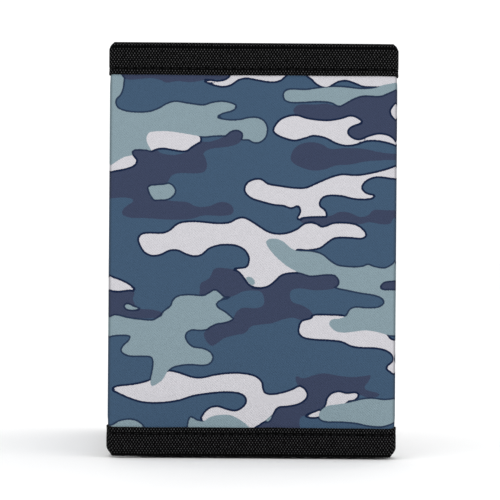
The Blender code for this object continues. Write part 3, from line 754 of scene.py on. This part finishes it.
def place_of(node):
    """A CAD piece's reach along u, along z, and in depth."""
    low, high = node_box(node)
    body = BODY_OF[node]
    if body == "centre":
        return (low[0], high[0]), (low[2], high[2]), (low[1], high[1])
    if body == "outer_flap":
        return (-HALF - high[1], -HALF - low[1]), (low[2], high[2]), (low[0] + HALF, high[0] + HALF)
    far = INNER_CREASE + HALF
    return (far - high[0], far - low[0]), (low[2], high[2]), (INNER_CLOSED - high[1], INNER_CLOSED - low[1])


def into_panel(u):
    """Distance from u to its panel's nearest fold, and below 0 on a spine."""
    return np.where(u < -HALF, OUTER_CREASE - u, np.where(u > HALF, u - INNER_CREASE, HALF - np.abs(u)))


# Each strip crosses one crease only: its ends, its two bodies, where it starts and stops bending,
# and the CAD panels that it stands for
OUTER_FLAP_Y = OUTER_CLOSED - CREASE_INSET
OUTER_REACH = 3.0
STRIPS = {
    "outer": (OUTER_END, OUTER_SEAM, "outer_spine", "outer_flap",
              (-HALF, OUTER_FLAP_Y - OUTER_REACH), (-HALF, OUTER_FLAP_Y + OUTER_REACH), ["outer_flap"]),
    "main": (OUTER_SEAM, FACE_SEAM, "centre", "outer_spine",
             (-HALF + BLEND_REACH, 0.0), (-HALF, BLEND_REACH), ["centre", "outer_spine"]),
    "fold": (FACE_SEAM, INNER_SEAM, "centre", "inner_spine",
             (HALF - BLEND_REACH, 0.0), (HALF, BLEND_REACH), ["inner_spine"]),
    "inner": (INNER_SEAM, INNER_END, "inner_spine", "inner_flap",
              (HALF, INNER_CLOSED - BLEND_REACH), (HALF - BLEND_REACH, INNER_CLOSED), ["inner_flap"]),
}


def bend(piece, strip, layer=None):
    """Bakes a strip piece's transform into its mesh, and hides the layer's CAD pieces that it stands for."""
    _, _, first, second, start, end, panels = STRIPS[strip]
    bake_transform(piece)
    if layer:
        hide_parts(*[f"{panel}_{layer}" for panel in panels])


def seat(piece, body, slot, *nodes):
    """Makes a piece ride on a body, and stand for the CAD pieces named."""
    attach(piece, body)
    if nodes:
        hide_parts(*nodes)
    return piece


# Stitching


STITCH = 1.9
STITCH_PITCH = 2.6
THREAD_RADIUS = 0.13
THREAD_LIFT = 0.10
THREAD_SUNK = 0.04
THREAD_TAPER = 0.75


def stitch_points(start, end, depth, side):
    """The points of one line of stitches, each a short thread that dips into the cloth at its ends."""
    (u0, z0), (u1, z1) = start, end
    length = math.hypot(u1 - u0, z1 - z0)
    along_u, along_z = (u1 - u0) / length, (z1 - z0) / length
    count = max(1, int(length // STITCH_PITCH))
    first = (length - (count - 1) * STITCH_PITCH - STITCH) / 2
    begin = first + STITCH_PITCH * np.arange(count)[:, None, None]
    t = np.linspace(0, 1, 7)[None, :, None]
    angle = np.linspace(0, math.tau, 6, endpoint=False)[None, None, :]
    radius = THREAD_RADIUS * (1 - (2 * t - 1) ** 6 * THREAD_TAPER)
    s = begin + STITCH * t + 0 * angle
    off = radius * np.cos(angle) + 0 * s
    u = u0 + along_u * s - along_z * off
    z = z0 + along_z * s + along_u * off
    surface = depth(u) if callable(depth) else depth
    lift = THREAD_LIFT * np.sin(math.pi * t) - THREAD_SUNK
    deep = surface + side * (lift + radius * np.sin(angle))
    return np.stack(np.broadcast_arrays(u, z, deep, s), -1)


def stitches(name, lines):
    """Lines of stitches in one mesh. A line is its start and end as (u, z), its depth and its side."""
    runs = [stitch_points(*line) for line in lines]
    rings, sides = runs[0].shape[1:3]
    u, z, deep, s = np.concatenate(runs).reshape(-1, 4).T
    faces = tube_faces(len(u) // (rings * sides), rings, sides)
    return new_object(name, lay(u, z, deep), faces, THREAD, swatch(s, u * 3))


def sew(name, body, lines, slot="binding_tape"):
    seat(stitches(name, lines), body, slot)


END_GAP = 1.0
SIDE_GAP = 2.0


def border(reach, span, inset, depth, side=1, edges="left right bottom top"):
    """Lines of stitches inside the edges of a rectangle. They stop short of its corners."""
    (u0, u1), (z0, z1) = reach, span
    lines = {
        "left": ((u0 + inset, z0 + END_GAP), (u0 + inset, z1 - END_GAP)),
        "right": ((u1 - inset, z0 + END_GAP), (u1 - inset, z1 - END_GAP)),
        "bottom": ((u0 + SIDE_GAP, z0 + inset), (u1 - SIDE_GAP, z0 + inset)),
        "top": ((u0 + SIDE_GAP, z1 - inset), (u1 - SIDE_GAP, z1 - inset)),
    }
    return [(*lines[edge], depth, side) for edge in edges.split()]


# The cover, its lining, and the tapes that bind its long edges


PROUD = 0.26
UNEVEN = 0.07
SPINE_BOW = 0.22
LINING_UNEVEN = 0.04
# How far in from a fold or a tape the face reaches its full height
DRAWN_IN = 0.5
FROM_FOLD = 11.0
FROM_TAPE = 12.0
BOW_FROM_FOLD = 2.4
BOW_FROM_TAPE = 4.0


def cover_front(u, z):
    """The printed face stands a little proud of each panel, and is drawn in at tapes and folds."""
    from_tapes = np.minimum(z - BOTTOM_EDGE, TOP_EDGE - z)
    drawn = smooth((into_panel(u) - DRAWN_IN) / FROM_FOLD) * smooth((from_tapes + DRAWN_IN) / FROM_TAPE)
    crease = np.where(u < 0, -OUTER_CREASE, INNER_CREASE)
    into_spine = np.minimum(np.abs(u) - HALF, crease - np.abs(u))
    bowed = smooth(into_spine / BOW_FROM_FOLD) * smooth((from_tapes + DRAWN_IN) / BOW_FROM_TAPE)
    return -drawn * (PROUD + ripple(u, z, UNEVEN)) - SPINE_BOW * bowed


def make_shell(layer, slot, material, rows, step, deepest, front, back):
    """The cover or the lining, in strips that end inside the side tapes at the free edges."""
    heights = np.linspace(SHELL_MARGIN, HEIGHT - SHELL_MARGIN, rows)
    for strip, (start, end, *_) in STRIPS.items():
        start, end = max(start, OUTER_END + SHELL_MARGIN), min(end, INNER_END - SHELL_MARGIN)
        lengths = stations(start, end, step, deepest)
        piece = strip_slab(f"{layer}_{strip}", lengths, heights, front, back, material)
        if material is CANVAS:
            add_print(piece)
        bend(piece, strip, layer)


def lining_face(face):
    return lambda u, z: face + ripple(u, z, LINING_UNEVEN)


def make_shells():
    make_shell("cover", "printed_fabric", CANVAS, 170, 0.7, 0.0, cover_front, COVER_THICK)
    make_shell("lining", "lining", LINING_CLOTH, 30, 3.0, LINING[1], *map(lining_face, LINING))


TURN = 1.3
GROOVE = 0.12
TUCKED = 0.02
TAPE_WAVE = 0.12
TAPE_STEP = 1.3
SEWN_FROM_END = 1.6
# Where the inner legs rise: from a fold onto the organiser, and beside a side tape
RISE_FROM = 0.2
RISE_WITHIN = 1.8
SIDE_RISE = 2.0
# How a side tape is drawn in under the long tapes
UNDER_FROM = 0.4
UNDER_WITHIN = 1.2
RIM_DRAWN = 0.1
SIDE_LEG_INSET = 0.15


def bottom_leg(u):
    """How deep the bottom tape's inner leg lies: over the organiser on a panel, not on a spine."""
    return SPINE_LEG + (PANEL_LEG - SPINE_LEG) * smooth((into_panel(u) - RISE_FROM) / RISE_WITHIN)


def top_leg(u):
    """How deep the top tape's inner leg lies: it rises over the side tapes at the free ends."""
    over_side = smooth((SIDE_WIDTH + SIDE_RISE - from_free_end(u)) / SIDE_RISE)
    return SPINE_LEG + (PANEL_LEG - SPINE_LEG) * over_side


def nose(u, front, back):
    """A long tape's outer faces at u: they close in at the free ends, over the side tape's turn."""
    short = max(1 - from_free_end(u) / TURN, 0.0)
    half = max((back - front) / 2 * math.sqrt(1 - short**2), TAPE_THICK + 0.05)
    return (front + back) / 2 - half, (front + back) / 2 + half


def make_long_tapes():
    edges = (
        ("top_tape", TOP_EDGE, HEIGHT, top_leg),
        ("bottom_tape", BOTTOM_EDGE, 0.0, bottom_leg),
    )
    for layer, edge, rim, leg in edges:
        sewn = edge + math.copysign(SEWN_IN, rim - edge)
        for strip, (start, end, *_) in STRIPS.items():
            rings = []
            for u in stations(start, end, TAPE_STEP, PANEL_LEG):
                front, back = nose(u, -TAPE_PROUD, leg(u))
                wavy = edge + ripple(u, edge, TAPE_WAVE)
                z, depth, running = folded(wavy, rim, front, back, TAPE_THICK, TURN, GROOVE)
                rings.append((u, z, depth, u, running))
            tape = sweep(f"{layer}_{strip}", rings, TAPE)
            bend(tape, strip, layer)
            first, last = max(start, OUTER_END + SEWN_FROM_END), min(end, INNER_END - SEWN_FROM_END)
            seam = ((first, sewn), (last, sewn))
            lines = [(*seam, -TAPE_PROUD + GROOVE, -1), (*seam, leg, 1)]
            bend(stitches(f"{layer}_stitches_{strip}", lines), strip)


def side_faces(z, low, high, leg):
    """How deep a side tape's faces lie at z, and its seam's groove.

    It runs on under the long tapes, and is drawn in there.
    """
    under = smooth((z - high + UNDER_FROM) / UNDER_WITHIN) + smooth((low + UNDER_FROM - z) / UNDER_WITHIN)
    tucked_leg = PANEL_LEG - TAPE_THICK - TUCKED
    front, back = -TAPE_PROUD + (TAPE_PROUD - TUCKED) * under, leg + (tucked_leg - leg) * under
    return front, back, GROOVE * (1 - under)


def make_side_tapes():
    for panel, end in (("outer_flap", OUTER_END), ("inner_flap", INNER_END)):
        node = f"{panel}_side_tape"
        reach, (low, high), (_, deepest) = place_of(node)
        way = math.copysign(1, end)
        edge = reach[0] if way > 0 else reach[1]
        leg = deepest - SIDE_LEG_INSET
        stops = (1.0, low - 0.9, low + 0.6, high - 0.6, high + 0.9, HEIGHT - 1.1)
        runs = [np.linspace(*run) for run in zip(stops, stops[1:], (7, 10, 80, 10, 7))]
        heights = np.unique(np.concatenate(runs))
        rings = []
        for z in heights:
            front, back, groove = side_faces(z, low, high, leg)
            rim = end - way * RIM_DRAWN * (front + TAPE_PROUD) / TAPE_PROUD
            wavy = edge + ripple(edge, z, TAPE_WAVE)
            u, depth, running = folded(wavy, rim, front, back, TAPE_THICK, TURN, groove)
            rings.append((u, z, depth, z, running))
        tape = seat(sweep(f"{node}_cloth", rings, TAPE), panel, "binding_tape", node)
        sewn = edge + way * SEWN_IN
        seam = ((sewn, low), (sewn, high))
        sew(f"{node}_stitches", panel, [(*seam, -TAPE_PROUD + GROOVE, -1), (*seam, leg, 1)])


# The organisers and pockets


LAYER_UNEVEN = 0.05
FLAT_RIM = 9.0
TRIM_INSET = 0.05
TRIM_THICK = 0.36
TRIM_TURN = 0.7
TRIM_SEWN = 1.2
POCKET_SEWN = 1.3
HEM_WIDTH = 4.2
HEM_PROUD = 0.1
HEM_THICK = 0.1
HEM_TURN = 0.3
HEM_SEWN = 3.2


def flat_layer(node, material, slot, rests_on, step=2.5, **sheet):
    """A layer of cloth in a CAD piece's place, a little uneven."""
    (u0, u1), (z0, z1), (front, back) = place_of(node)

    def rise(u, z):
        inside = np.minimum(np.minimum(u - u0, u1 - u), np.minimum(z - z0, z1 - z))
        return smooth(inside / FLAT_RIM) * ripple(u, z, LAYER_UNEVEN)

    us, zs = (np.linspace(a, b, max(4, int((b - a) / step))) for a, b in ((u0, u1), (z0, z1)))
    piece = strip_slab(f"{node}_cloth", us, zs, lambda u, z: front + rise(u, z),
                       lambda u, z: back + rise(u, z), material)
    seat(piece, BODY_OF[node], slot, node)


def make_organisers():
    for panel in ("centre", "outer_flap", "inner_flap"):
        node = f"{panel}_organiser"
        (u0, u1), (low, high), (front, back) = place_of(f"{node}_trim")
        front, back = front + TRIM_INSET, back - TRIM_INSET
        z, depth, running = folded(low, high, front, back, TRIM_THICK, TRIM_TURN)
        rings = [(u, z, depth, u, running) for u in np.linspace(u0, u1, 50)]
        trim = seat(sweep(f"{node}_trim_cloth", rings, HEM_TAPE), panel, "binding_tape", f"{node}_trim")
        flat_layer(node, POCKET_CLOTH, "pocket_fabric", f"{panel}_lining", with_pieces=[trim])
        (left, right), (bottom, top), (_, face) = place_of(node)
        sewn = low + TRIM_SEWN
        lines = [((u0 + END_GAP, sewn), (u1 - END_GAP, sewn), back, 1)]
        sides = {"outer_flap": right - POCKET_SEWN, "inner_flap": left + POCKET_SEWN}
        for open_on, u in sides.items():
            if panel != open_on:
                lines.append(((u, bottom + 10), (u, top - 8), face, 1))
        sew(f"{node}_stitches", panel, lines)


def make_card_pockets():
    for number in (1, 2, 3):
        node = f"card_pocket_{number}"
        (u0, opening), (low, high), (front, back) = place_of(node)
        face = back + HEM_PROUD
        edge, seam = opening - HEM_WIDTH, opening - HEM_SEWN
        u, depth, running = folded(edge, opening, front - HEM_PROUD, face, HEM_THICK, HEM_TURN)
        rings = [(u, z, depth, z, running) for z in np.linspace(low, high, 60)]
        hem = seat(sweep(f"{node}_hem", rings, HEM_TAPE), "centre", "binding_tape")
        flat_layer(node, POCKET_CLOTH, "pocket_fabric", "centre_organiser_cloth", with_pieces=[hem])
        lines = [
            ((seam, low + END_GAP), (seam, high - END_GAP), face, 1),
            ((u0 + END_GAP, low + POCKET_SEWN), (edge - 0.2, low + POCKET_SEWN), back, 1),
            ((u0 + END_GAP, high - POCKET_SEWN), (edge - 0.2, high - POCKET_SEWN), back, 1),
            ((u0 + POCKET_SEWN, low + 2.5), (u0 + POCKET_SEWN, high - 2.5), back, 1),
        ]
        sew(f"{node}_stitches", "centre", lines)


def make_coin_pocket():
    for node in ("coin_pocket_facing", "coin_pocket_front"):
        flat_layer(node, POCKET_CLOTH, "pocket_fabric", "outer_flap_organiser_cloth")
        reach, span, (_, face) = place_of(node)
        sew(f"{node}_stitches", "outer_flap", border(reach, span, 1.2, face))


# The zip


TOOTH_PITCH = 1.25
TOOTH_SIDES = 8
SQUARED = 0.6
# A tooth's sections, from its root to its nose: place, half width, and height
TOOTH_SECTIONS = np.array((
    (0.0, 0.30, 0.55), (0.12, 0.36, 0.92), (0.45, 0.36, 1.0), (0.62, 0.22, 0.82),
    (0.80, 0.34, 0.92), (0.95, 0.30, 0.70), (1.0, 0.16, 0.45),
))


def make_zip():
    for side, other in (("fold_side", "edge_side"), ("edge_side", "fold_side")):
        flat_layer(f"zip_tape_{side}", ZIP_CLOTH, "nylon", "coin_pocket_front_cloth", step=1.2)
        make_teeth(f"zip_teeth_{side}", f"zip_teeth_{other}")


def make_teeth(node, partner):
    """A row of moulded teeth: each a block clamped on the tape's edge, with a rounded nose."""
    (u0, u1), (low, high), (front, back) = place_of(node)
    root, tip = (u1, u0) if place_of(partner)[0][0] < u0 else (u0, u1)
    count = round((high - low) / TOOTH_PITCH)
    pitch = (high - low) / count
    angle = math.tau * (np.arange(TOOTH_SIDES) + 0.5) / TOOTH_SIDES
    across, deep = (np.sign(c) * np.abs(c) ** SQUARED for c in (np.cos(angle), np.sin(angle)))
    share, width, height = TOOTH_SECTIONS.T[:, None, :, None]
    z = low + (np.arange(count)[:, None, None] + 0.5) * pitch + pitch * width * across
    depth = (front + back) / 2 + (back - front) / 2 * height * deep
    points = lay(root + (tip - root) * share, z, depth, warped=False)
    faces = tube_faces(count, len(TOOTH_SECTIONS), TOOTH_SIDES)
    seat(new_object(f"{node}_moulded", points, faces, TOOTH_NYLON), "outer_flap", "nylon", node)


# Hook and loop


HOOK_ARC = math.radians(150.0)
LOOP_SPREAD = 0.9
SCATTER = 0.2


def bristles(name, node, side, height, spacing, radius, material):
    """Little bent threads standing on a strip: hooks, or loops that come back down."""
    (u0, u1), (z0, z1), (front, back) = place_of(node)
    face = back - height if side > 0 else front + height
    rng = np.random.default_rng(7)
    places = (np.arange(a + 0.9, b - 0.6, spacing) for a, b in ((u0, u1), (z0, z1)))
    u, z = (grid.ravel() for grid in np.meshgrid(*places))
    u = u + rng.uniform(-SCATTER, SCATTER, len(u))
    z = z + rng.uniform(-SCATTER, SCATTER, len(z))
    t = np.linspace(0, 1, 6)[:, None]
    bow = height - 2 * radius
    if material is LOOP_YARN:
        lean = rng.uniform(0, math.tau, len(u))
        out, up = LOOP_SPREAD * t, bow * np.sin(math.pi * t)
    else:
        lean = np.where(rng.random(len(u)) < 0.5, 0.0, math.pi)
        out = bow / 2 * (1 - np.cos(HOOK_ARC * t))
        up = bow * np.sin(np.minimum(HOOK_ARC * t, math.pi / 2))
    turn = np.linspace(0, math.tau, 4, endpoint=False)
    along, wide = out + radius * np.cos(turn), radius * np.sin(turn)
    u, z, lean = (values[:, None, None] for values in (u, z, lean))
    points = lay(u + np.cos(lean) * along - np.sin(lean) * wide,
                 z + np.sin(lean) * along + np.cos(lean) * wide, face + side * up, warped=False)
    return seat(new_object(name, points, tube_faces(len(u), len(t), len(turn)), material),
                BODY_OF[node], "hook_and_loop")


def make_strips():
    # Which side the bristles stand on, then their height, spacing and radius
    makes = (
        ("hook_strip", 1, 0.55, 1.15, 0.07, HOOK_NYLON, "hooks", "coin_pocket_front_cloth"),
        ("loop_strip", -1, 0.5, 0.95, 0.06, LOOP_YARN, "loops", "cover_inner"),
    )
    for node, side, height, spacing, radius, material, what, sewn_to in makes:
        reach, span, (front, back) = place_of(node)
        threads = bristles(f"{node}_{what}", node, side, height, spacing, radius, material)
        front, back = (front, back - height) if side > 0 else (front + height, back)
        us, zs = np.linspace(*reach, 9), np.linspace(*span, 40)
        base = strip_slab(f"{node}_base", us, zs, front, back, STRIP_BASE, warped=False)
        seat(base, BODY_OF[node], "hook_and_loop", node)
        lines = border(reach, span, 1.1, back if side > 0 else front, side)
        sew(f"{node}_stitches", BODY_OF[node], lines, "hook_and_loop")


# The ID window


WINDOW_U = (10.2, 55.5)
WINDOW_Z = (16.9, 97.9)
FRAME_CORNER = 0.6
OPENING_CORNER = 4.0
EDGING_CORNER = 6.0
EDGING_WIDTH = 3.4
EDGING_SEWN = 2.6
EDGING_PROUD = 0.12
EDGING_BEHIND = 0.08


def rounded_loop(us, zs, radius, grown=0.0, count=16):
    """Points round a rectangle with rounded corners, the same number on each side."""
    u0, u1, z0, z1 = us[0] - grown, us[1] + grown, zs[0] - grown, zs[1] + grown
    centres = (
        (u1 - radius, z1 - radius), (u0 + radius, z1 - radius),
        (u0 + radius, z0 + radius), (u1 - radius, z0 + radius),
    )
    points = []
    for quarter, centre in enumerate(centres):
        angle = np.linspace(quarter, quarter + 1, 7)[:, None] * math.pi / 2
        points.append(centre + radius * np.hstack([np.cos(angle), np.sin(angle)]))
        stop = centres[(quarter + 1) % 4] + radius * np.hstack([np.cos(angle[-1]), np.sin(angle[-1])])
        t = np.linspace(0, 1, count)[1:-1, None]
        points.append(points[-1][-1] + (stop - points[-1][-1]) * t)
    return np.concatenate(points)


def ring_slab(name, loops, front, back, material):
    """A flat frame of cloth: rings of points from its outside to its opening, and its thickness."""
    order = [(loop, front) for loop in loops] + [(loop, back) for loop in reversed(loops)]
    points = np.concatenate([lay(loop[:, 0], loop[:, 1], depth, warped=False) for loop, depth in order])
    cloth = np.concatenate([swatch(loop[:, 0], loop[:, 1]) for loop, _ in order])
    return new_object(name, points, ring_faces(len(order), len(loops[0]), closed=True), material, cloth)


def make_id_window():
    reach, span, (front, back) = place_of("id_window_frame")
    opening_u = [INNER_CREASE - CREASE_INSET + u for u in WINDOW_U]
    outside = rounded_loop(reach, span, FRAME_CORNER)
    opening = rounded_loop(opening_u, WINDOW_Z, OPENING_CORNER)
    loops = [outside + (opening - outside) * t for t in np.linspace(0, 1, 6)]
    cloth = ring_slab("id_window_frame_cloth", loops, front, back, POCKET_CLOTH)
    seat(cloth, "inner_flap", "pocket_fabric", "id_window_frame")
    grown = rounded_loop(opening_u, WINDOW_Z, EDGING_CORNER, EDGING_WIDTH)
    edging = [grown + (opening - grown) * t for t in (0.0, 0.1, 0.5, 0.9, 1.0)]
    face = back + EDGING_PROUD
    hem = ring_slab("id_window_edging", edging, front - EDGING_BEHIND, face, HEM_TAPE)
    seat(hem, "inner_flap", "binding_tape")
    left, right = opening_u[0] - EDGING_SEWN, opening_u[1] + EDGING_SEWN
    low, high = WINDOW_Z[0] - EDGING_SEWN, WINDOW_Z[1] + EDGING_SEWN
    lines = [
        ((left, low), (right, low), face, 1), ((left, high), (right, high), face, 1),
        ((left, low), (left, high), face, 1), ((right, low), (right, high), face, 1),
    ]
    lines += border(reach, span, 1.2, back, edges="left right bottom")
    sew("id_window_stitches", "inner_flap", lines)
    flat_layer("id_window", VINYL, "clear_vinyl", "id_window_frame_cloth", step=2.0)


def finish_cad_nodes():
    """The hard pieces keep their shape and get a proper finish."""
    finishes = {
        BOARD_PLASTIC: ("centre_board", "outer_flap_board", "inner_flap_board"),
        GUNMETAL: ("zip_slider", "zip_pull"),
        TOOTH_NYLON: ("zip_top_stop_fold_side", "zip_top_stop_edge_side", "zip_bottom_stop"),
    }
    for material, nodes in finishes.items():
        for node in nodes:
            frame["nodes"][node].data.materials[0] = material


# The studio


LAMPS = (
    ("key", (-0.9, -1.3, 1.5), 5.0),
    ("fill", (1.4, -1.0, 0.7), 2.5),
    ("back", (0.3, 1.6, 1.2), 4.0),
)
LAMP_SIZE = 1.4
AIM = Vector((0.0, 0.02, 0.06))


def make_studio():
    bpy.ops.mesh.primitive_plane_add(size=24.0, location=(0.0, 0.0, -0.0004))
    floor = bpy.context.object
    floor.name = "floor"
    floor.data.materials.append(pale_floor())
    world = bpy.data.worlds.new("studio")
    world.use_nodes = True
    sky = world.node_tree.nodes["Background"].inputs
    sky["Color"].default_value = (1.0, 1.0, 1.0, 1.0)
    sky["Strength"].default_value = 1.12
    bpy.context.scene.world = world
    for name, place, power in LAMPS:
        light = bpy.data.lights.new(name, "AREA")
        light.size, light.energy = LAMP_SIZE, power
        lamp = bpy.data.objects.new(name, light)
        bpy.context.scene.collection.objects.link(lamp)
        lamp.location = place
        lamp.rotation_euler = (AIM - lamp.location).to_track_quat("-Z", "Y").to_euler()


def make_camera():
    """Straight in front, a little to the left, and rolled by less than half a degree."""
    camera = bpy.data.cameras.new("camera")
    camera.lens, camera.sensor_width = 150.0, 36.0
    camera.clip_start, camera.clip_end = 0.01, 50.0
    holder = bpy.data.objects.new("camera", camera)
    bpy.context.scene.collection.objects.link(holder)
    holder.location = (-0.72 * MM, -602.5 * MM, HEIGHT / 2 * MM)
    holder.rotation_euler = (math.radians(90), math.radians(-0.43), 0.0)
    bpy.context.scene.camera = holder
    bpy.context.scene.view_settings.view_transform = "Standard"


make_shells()
make_long_tapes()
make_side_tapes()
make_organisers()
make_card_pockets()
make_coin_pocket()
make_zip()
make_strips()
make_id_window()
finish_cad_nodes()
make_studio()
make_camera()
